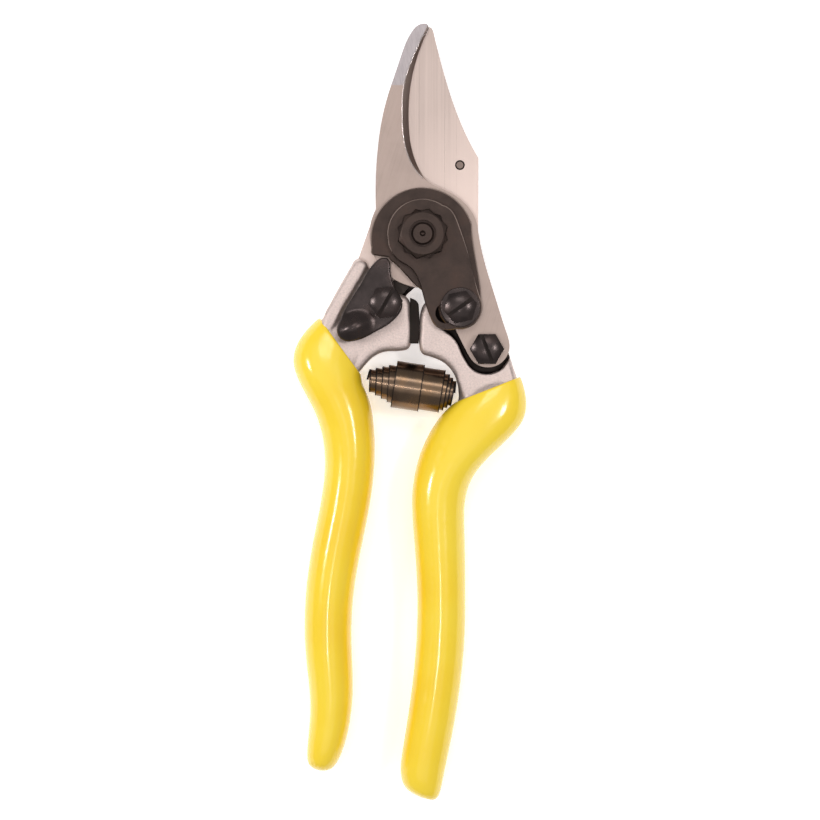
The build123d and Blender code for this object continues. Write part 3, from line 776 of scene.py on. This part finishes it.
def make_catch(sizes):
    """The thumb catch: a flat arm whose outer end swells up for the thumb."""
    catch = cast([flat_plate("arm", CATCH_PLAN, ARM_LOW, ARM_TOP, sizes.catch_round, sharp=(0, 1))],
                 "thumb_catch_arm", sizes.catch_grain, 8)
    middle, lean = Vector(HUMP_MIDDLE) * MM, radians(HUMP_LEAN)

    def raised(point, reach):
        """Whether a point of the top lies within an ellipse round the hump's middle."""
        away = point.xy - middle
        along = away.x * cos(lean) + away.y * sin(lean)
        across = away.y * cos(lean) - away.x * sin(lean)
        spread = (along / HUMP_LENGTH) ** 2 + (across / HUMP_WIDTH) ** 2
        return point.z > HUMP_ABOVE * MM and spread < (reach * MM) ** 2

    only(catch)
    bpy.ops.object.mode_set(mode="EDIT")
    for level in range(HUMP_STEPS):
        share = (level + 0.5) / HUMP_STEPS
        pick(catch, lambda point, index: raised(point, 1 - 2 * asin(share ** 0.5) / pi))
        bpy.ops.transform.translate(value=(0, 0, sizes.catch_hump / HUMP_STEPS))
    bpy.ops.object.mode_set(mode="OBJECT")
    modified(catch, "SMOOTH", factor=0.5, iterations=26)
    smooth(catch)
    return cut(catch, bar("eye", CATCH_PIVOT, 2.55, 10, 20))


# Each domed screw: centre, seat, tip, turn of its hexagon, turn of its slot, and flange.
SCREWS = {
    "lock_plate_screw": ((10.1, -19.7), 14.9, 4.4, 12, 35.5, 0.9),
    "hook_blade_screw": ((17.3, -30.9), 11.5, 4.4, 0, 112, 0.0),
    "catch_screw": (CATCH_PIVOT, 15.65, 3.4, 6, 60, 0.0),
}


def make_screw(name, centre, seat, tip, turned, slotted, flange, sizes):
    """A domed hexagon head with a straight-sided driver slot, on a flange or none."""
    flats, height, dome, shank_r, flange_r = 8.0, 3.6, 1.35, 2.5, 5.3
    corner = flats / 2 / cos(pi / 6)
    base = seat + flange
    start()
    bpy.ops.mesh.primitive_cylinder_add(vertices=6, radius=corner * MM, depth=height * MM,
                                        location=(centre[0] * MM, centre[1] * MM, (base + height / 2) * MM),
                                        rotation=(0, 0, radians(turned - 30)))
    head = settle(name)
    ball_r = (corner ** 2 + dome ** 2) / (2 * dome)
    bpy.ops.mesh.primitive_uv_sphere_add(
        segments=128, ring_count=64, radius=ball_r * MM,
        location=(centre[0] * MM, centre[1] * MM, (base + height - ball_r) * MM))
    ball = settle("ball")
    modified(head, "BOOLEAN", operation="INTERSECT", solver="EXACT", object=ball)
    bpy.data.objects.remove(ball)
    start()
    bpy.ops.mesh.primitive_cube_add(size=1, location=(centre[0] * MM, centre[1] * MM, (base + height) * MM),
                                    rotation=(0, 0, radians(slotted)))
    bpy.context.object.scale = (14 * MM, sizes.screw_slot, 2.8 * MM)
    settle("slot")
    cut(head, bpy.context.object)
    modified(head, "BEVEL", width=0.12 * MM, segments=3, limit_method="ANGLE", angle_limit=radians(25))
    shank = bar("shank", centre, shank_r, tip, base + 0.2)
    pieces = [head, shank]
    if flange:
        collar = bar("collar", centre, flange_r, seat, base)
        modified(collar, "BEVEL", width=0.22 * MM, segments=3, limit_method="ANGLE")
        pieces.append(collar)
    return smooth(joined(pieces, name), 32)


# The spring's two ends on the plan, in millimetres.
SPRING_LEFT = (-15.2, -39.05)
SPRING_RIGHT = (8.9, -42.75)


def spring_ends():
    """The middles of the spring's two ends."""
    low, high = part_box("volute_spring")
    middle = (low.z + high.z) / 2
    return tuple(Vector((x * MM, y * MM, middle)) for x, y in (SPRING_LEFT, SPRING_RIGHT))


# How wide the border of painted shade along a strip's edges is, as a share of its width.
STRIP_SHADE_BORDER = 0.035


def wound_strip(name, begin, finish, first, last, turns, fixed):
    """A strip wound round the X axis from one radius to another, starting underneath. Its outer edge
    moves from begin to finish along the axis, and its inner edge stays at fixed."""
    steps = 40
    start()
    bpy.ops.mesh.primitive_plane_add(size=1)
    strip = settle(name)
    bpy.ops.object.mode_set(mode="EDIT")
    pick(strip, lambda point, index: point.y > 0)
    bpy.ops.mesh.delete(type="VERT")
    bpy.ops.mesh.select_all(action="SELECT")
    bpy.ops.transform.translate(value=(0.5, 0.5, -first))
    bpy.ops.mesh.subdivide(number_cuts=2)
    # Narrow columns along both edges, which get painted shade later.
    for low, high, move in ((0.3, 0.4, STRIP_SHADE_BORDER - 1 / 3), (0.6, 0.7, 1 / 3 - STRIP_SHADE_BORDER)):
        pick(strip, lambda point, index: low < point.x < high)
        bpy.ops.transform.translate(value=(move, 0, 0))
    bpy.ops.mesh.select_all(action="SELECT")
    bpy.ops.transform.resize(value=(begin - fixed, 1, 1), center_override=(0, 0, 0))
    bpy.ops.transform.translate(value=(fixed, 0, 0))
    radius, reach = first, begin - fixed
    count = int(turns * steps)
    for step in range(1, count + 1):
        share = step / count
        new_radius = first + (last - first) * share
        new_reach = begin + (finish - begin) * share - fixed
        bpy.ops.mesh.extrude_region_move()
        turn(2 * pi / steps, (fixed, 0, 0), axis="X")
        bpy.ops.transform.resize(value=(new_reach / reach, new_radius / radius, new_radius / radius),
                                 center_override=(fixed, 0, 0))
        radius, reach = new_radius, new_reach
    bpy.ops.object.mode_set(mode="OBJECT")
    return strip


def make_spring(sizes):
    """Two halves wound out from their ends to the middle, under one wide band."""
    left, right = spring_ends()
    way = right - left
    length = way.length
    small, large = sizes.spring_end, sizes.spring_middle
    step = 1.6 * sizes.strip
    near = wound_strip("near", 0, 0.28 * length, small, large - 2.4 * step, sizes.spring_turns, length / 2)
    far = wound_strip("far", length, 0.88 * length, small * 1.1, large - 2.4 * step, sizes.spring_turns - 1,
                      length / 2 + 0.1 * MM)
    second = wound_strip("second", 0.86 * length, 0.84 * length, large - 2 * step, large - step, 1.1,
                         length / 2 + 0.2 * MM)
    band = wound_strip("band", 0.31 * length, 0.31 * length, large - step * 0.6, large, 1.1, 0.62 * length)
    spring = joined([near, far, second, band], "wound_spring")
    modified(spring, "SOLIDIFY", thickness=sizes.strip, offset=0)
    only(spring)
    bpy.ops.object.mode_set(mode="EDIT")
    bpy.ops.mesh.select_all(action="SELECT")
    turn(atan2(way.y, way.x), (0, 0, 0))
    bpy.ops.transform.translate(value=left)
    bpy.ops.mesh.normals_make_consistent(inside=False)
    bpy.ops.object.mode_set(mode="OBJECT")
    return smooth(spring, 40)


def crest_of_hook():
    """The corners where the hook blade's inner bevel meets its upper face, from the tip down."""
    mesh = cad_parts["hook_blade"].data

    def corners(test):
        return {tuple(round(part, 6) for part in mesh.vertices[index].co)
                for face in mesh.polygons if test(face.normal) for index in face.vertices}

    shared = corners(lambda normal: 0.2 < normal.z < 0.9 and normal.x > 0.1) & corners(
        lambda normal: normal.z > 0.95)
    return sorted(shared, key=lambda place: -place[1])


def make_rounded_edge_highlight(sizes):
    """A thin rounded edge along the crest of the hook blade's bevel, to carry a painted highlight."""
    places = crest_of_hook()
    start()
    bpy.ops.curve.primitive_nurbs_path_add()
    path = bpy.context.object
    path.data.splines.clear()
    line = path.data.splines.new("POLY")
    line.points.add(len(places) - 1)
    for point, place in zip(line.points, places):
        point.co = (*place, 1)
    path.data.bevel_depth = sizes.edge_round
    path.data.bevel_resolution = 2
    path.data.use_fill_caps = True
    path.location.z = sizes.edge_round * 0.7
    bpy.ops.object.convert(target="MESH")
    return smooth(settle("rounded_edge_highlight"))


def make_bumper(sizes):
    """The rubber stop, with its sloped shoulder."""
    plan = [(-3.4, -17.0), (-3.4, -29.3), (-1.1, -29.3), (-0.95, -28.0), (-0.95, -20.6), (-1.4, -18.2)]
    stop = flat_plate("stop", plan, 3.8, 12.0, sizes.bumper_round, sharp=(0, 1, 2))
    return smooth(stop, 35)


# ---------------------------------------------------------------- operators

class PRUNER_OT_grips(bpy.types.Operator):
    """Model the two dipped grips"""
    bl_idname = "pruner.grips"
    bl_label = "Grips"

    def execute(self, context):
        for name, rings, body, node in (("blade_grip", BLADE_GRIP, BLADE_BODY, "blade_handle_grip"),
                                        ("hook_grip", HOOK_GRIP, HOOK_BODY, "hook_handle_grip")):
            grip = make_grip(name, rings)
            coat(grip, finish_of("grip"))
            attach(grip, body)
            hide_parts(node)
        return {"FINISHED"}


class PRUNER_OT_castings(bpy.types.Operator):
    """Model the two handle castings"""
    bl_idname = "pruner.castings"
    bl_label = "Castings"

    def execute(self, context):
        sizes = context.scene.pruner_sizes
        for casting, body, node in ((make_blade_casting(sizes), BLADE_BODY, "blade_handle_casting"),
                                    (make_hook_casting(sizes), HOOK_BODY, "hook_handle_casting")):
            coat(casting, finish_of("casting"))
            if body == BLADE_BODY:
                # The tops of the hub and web and the gap's floor, below 6 mm, get painted shade.
                coat_where(casting, finish_of("painted_shade"),
                           lambda place, normal: place.z < 6 * MM and normal.z > 0.3 and place.y > -19 * MM)
            else:
                # The pocket's walls and floor get painted shade.
                pocket = [(x * MM, y * MM) for x, y in POCKET_PLAN]
                coat_where(casting, finish_of("painted_shade"),
                           lambda place, normal: 7.8 * MM < place.z < 11.6 * MM
                           and inside(pocket, place.x + 0.2 * MM, place.y + 0.2 * MM))
            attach(casting, body)
            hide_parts(node)
        return {"FINISHED"}


class PRUNER_OT_catch(bpy.types.Operator):
    """Model the thumb catch"""
    bl_idname = "pruner.catch"
    bl_label = "Thumb catch"

    def execute(self, context):
        catch = make_catch(context.scene.pruner_sizes)
        coat(catch, finish_of("screw"))
        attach(catch, CATCH_BODY)
        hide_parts("thumb_catch")
        return {"FINISHED"}


class PRUNER_OT_screws(bpy.types.Operator):
    """Model the three domed screws"""
    bl_idname = "pruner.screws"
    bl_label = "Screws"

    def execute(self, context):
        for node, numbers in SCREWS.items():
            sizes = context.scene.pruner_sizes
            screw = make_screw(node + "_domed", *numbers, sizes)
            coat(screw, finish_of("screw"))
            (x, y), seat, slotted = numbers[0], numbers[1], radians(numbers[4])

            def in_slot(place, normal):
                """Whether a face is one of the driver slot's, which lies along its own direction."""
                aside = (place.y - y * MM) * cos(slotted) - (place.x - x * MM) * sin(slotted)
                return place.z > (seat + 1.5) * MM and abs(aside) + 0.03 * MM < sizes.screw_slot / 2

            # The slot's faces get painted shade.
            coat_where(screw, finish_of("painted_shade"), in_slot)
            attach(screw, BLADE_BODY if node == "catch_screw" else HOOK_BODY)
            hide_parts(node)
        return {"FINISHED"}


class PRUNER_OT_edge(bpy.types.Operator):
    """Lay a thin rounded edge along the hook blade's inner edge, bright as a painted highlight"""
    bl_idname = "pruner.edge"
    bl_label = "Polished edge"

    def execute(self, context):
        edge = make_rounded_edge_highlight(context.scene.pruner_sizes)
        # Its bright colour is a painted highlight.
        coat(edge, finish_of("polished"))
        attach(edge, HOOK_BODY)
        return {"FINISHED"}


class PRUNER_OT_spring(bpy.types.Operator):
    """Wind the volute spring"""
    bl_idname = "pruner.spring"
    bl_label = "Volute spring"

    def execute(self, context):
        spring = make_spring(context.scene.pruner_sizes)
        coat(spring, finish_of("spring"))
        # The narrow border faces and the rims get painted shade: dark lines at each step.
        coat_small(spring, finish_of("painted_shade"), 1.2 * MM * MM)
        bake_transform(spring)
        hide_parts("volute_spring")
        return {"FINISHED"}


class PRUNER_OT_bumper(bpy.types.Operator):
    """Model the rubber stop between the castings"""
    bl_idname = "pruner.bumper"
    bl_label = "Rubber stop"

    def execute(self, context):
        stop = make_bumper(context.scene.pruner_sizes)
        coat(stop, finish_of("rubber"))
        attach(stop, BLADE_BODY)
        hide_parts("rubber_bumper")
        return {"FINISHED"}


NODE_FINISHES = {
    "cutting_blade": "blade", "hook_blade": "hook", "blade_pin": "worn", "segment_plate": "oxide",
    "lock_plate": "oxide", "pivot_nut": "oxide", "pivot_bolt": "oxide", "pivot_washer": "steel",
    "catch_spring_washer": "steel", "blade_tang_screw": "steel",
}


class PRUNER_OT_metalwork(bpy.types.Operator):
    """Give the blades, plates, screws and washers of the frame their finishes"""
    bl_idname = "pruner.metalwork"
    bl_label = "Metalwork"

    def execute(self, context):
        for node, key in NODE_FINISHES.items():
            coat(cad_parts[node], finish_of(key))
        # The pin's chamfer gets painted shade, a dark ring; the plates' chamfers get a paler colour, partly
        # wear and partly a painted highlight.
        for node, key in (("blade_pin", "painted_shade"), ("segment_plate", "worn"), ("lock_plate", "worn")):
            coat_where(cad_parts[node], finish_of(key), lambda place, normal: 0.4 < normal.z < 0.9)
        # The bevel's faces get their own darker colour as painted shade, paler towards the lower end as a
        # painted highlight.
        coat_where(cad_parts["hook_blade"], finish_of("bevel"),
                   lambda place, normal: 0.2 < normal.z < 0.9 and normal.x > 0.1 and place.y > 12 * MM)
        return {"FINISHED"}


# Each small lamp: its place, width and length in metres, and its share of the strip lights' power.
SMALL_LAMPS = {
    "left_strip": ((-0.62, 0.06, 0.55), 0.16, 0.1, 1.0),
    "right_strip": ((0.42, 0.04, 0.72), 0.14, 0.08, 0.6),
    "top_strip": ((0, 0.45, 0.85), 0.45, 0.18, 0.55),
    "crest_strip": ((-0.1, -0.2, 1.15), 0.03, 0.09, 0.4),
}
# What the camera looks at on the plan, and the height at which the view width holds, in millimetres.
SIGHT = (-3.4, -47.3)
SIGHT_HEIGHT = 9
SENSOR = 36


def area_light(name, place, aim, width, length, power):
    """A rectangular light at a place, turned to face a point."""
    start()
    bpy.ops.object.light_add(type="AREA", location=place)
    lamp = bpy.context.object
    lamp.name = name
    lamp.rotation_euler = (Vector(aim) - Vector(place)).to_track_quat("-Z", "Y").to_euler()
    lamp.data.shape = "RECTANGLE"
    lamp.data.size = width
    lamp.data.size_y = length
    lamp.data.energy = power
    return lamp


class PRUNER_OT_stage(bpy.types.Operator):
    """Lay the bench, hang the lights and set the camera"""
    bl_idname = "pruner.stage"
    bl_label = "Stage"

    def execute(self, context):
        scene = context.scene
        stage = scene.pruner_stage
        low, high = (Vector(corner) for corner in CAD_BOX)
        middle = (low + high) / 2
        start()
        bpy.ops.mesh.primitive_plane_add(size=6, location=(middle.x, middle.y, -0.02 * MM))
        bench = settle("bench")
        coat(bench, finish_of("floor"))
        area_light("overhead", (0, 0, 1.5), middle, 2.0, 2.0, stage.overhead)
        for name, (place, width, length, share) in SMALL_LAMPS.items():
            area_light(name, place, middle, width, length, stage.strip_light * share)
        world = bpy.data.worlds.new("surround")
        world.use_nodes = True
        world.node_tree.nodes["Background"].inputs["Color"].default_value = (1, 1, 1, 1)
        world.node_tree.nodes["Background"].inputs["Strength"].default_value = stage.sky
        scene.world = world
        scene.view_settings.view_transform = "Standard"
        start()
        x, y = SIGHT
        bpy.ops.object.camera_add(location=(x * MM, y * MM, stage.camera_height), rotation=(0, 0, 0))
        camera = context.object
        camera.name = "camera"
        camera.data.sensor_width = SENSOR
        camera.data.lens = SENSOR * (stage.camera_height - SIGHT_HEIGHT * MM) / stage.view_width
        camera.data.clip_start = 0.01
        scene.camera = camera
        return {"FINISHED"}


class PRUNER_PT_panel(bpy.types.Panel):
    """Settings and steps of the pruner"""
    bl_label = "Bypass Pruner"
    bl_idname = "PRUNER_PT_panel"
    bl_space_type = "VIEW_3D"
    bl_region_type = "UI"
    bl_category = "Pruner"

    def draw(self, context):
        """Every setting, then a button for each step."""
        scene = context.scene
        for group in (scene.pruner_sizes, scene.pruner_colours, scene.pruner_stage):
            box = self.layout.box()
            for key in group.bl_rna.properties.keys():
                if key not in ("rna_type", "name"):
                    box.prop(group, key)
        for step in STEPS:
            self.layout.operator(step.bl_idname)


STEPS = (PRUNER_OT_metalwork, PRUNER_OT_grips, PRUNER_OT_castings, PRUNER_OT_catch, PRUNER_OT_screws,
         PRUNER_OT_edge, PRUNER_OT_spring, PRUNER_OT_bumper, PRUNER_OT_stage)
CLASSES = (PrunerSizes, PrunerColours, PrunerStage, *STEPS, PRUNER_PT_panel)


def register():
    """Adds the settings, operators and panel."""
    for made in CLASSES:
        bpy.utils.register_class(made)
    bpy.types.Scene.pruner_sizes = PointerProperty(type=PrunerSizes)
    bpy.types.Scene.pruner_colours = PointerProperty(type=PrunerColours)
    bpy.types.Scene.pruner_stage = PointerProperty(type=PrunerStage)


def unregister():
    """Takes them away again."""
    for key in ("pruner_sizes", "pruner_colours", "pruner_stage"):
        delattr(bpy.types.Scene, key)
    for made in reversed(CLASSES):
        bpy.utils.unregister_class(made)


def main():
    """Builds the whole look."""
    register()
    bpy.ops.pruner.metalwork()
    bpy.ops.pruner.grips()
    bpy.ops.pruner.castings()
    bpy.ops.pruner.catch()
    bpy.ops.pruner.screws()
    bpy.ops.pruner.edge()
    bpy.ops.pruner.spring()
    bpy.ops.pruner.bumper()
    bpy.ops.pruner.stage()


if __name__ == "__main__":
    main()
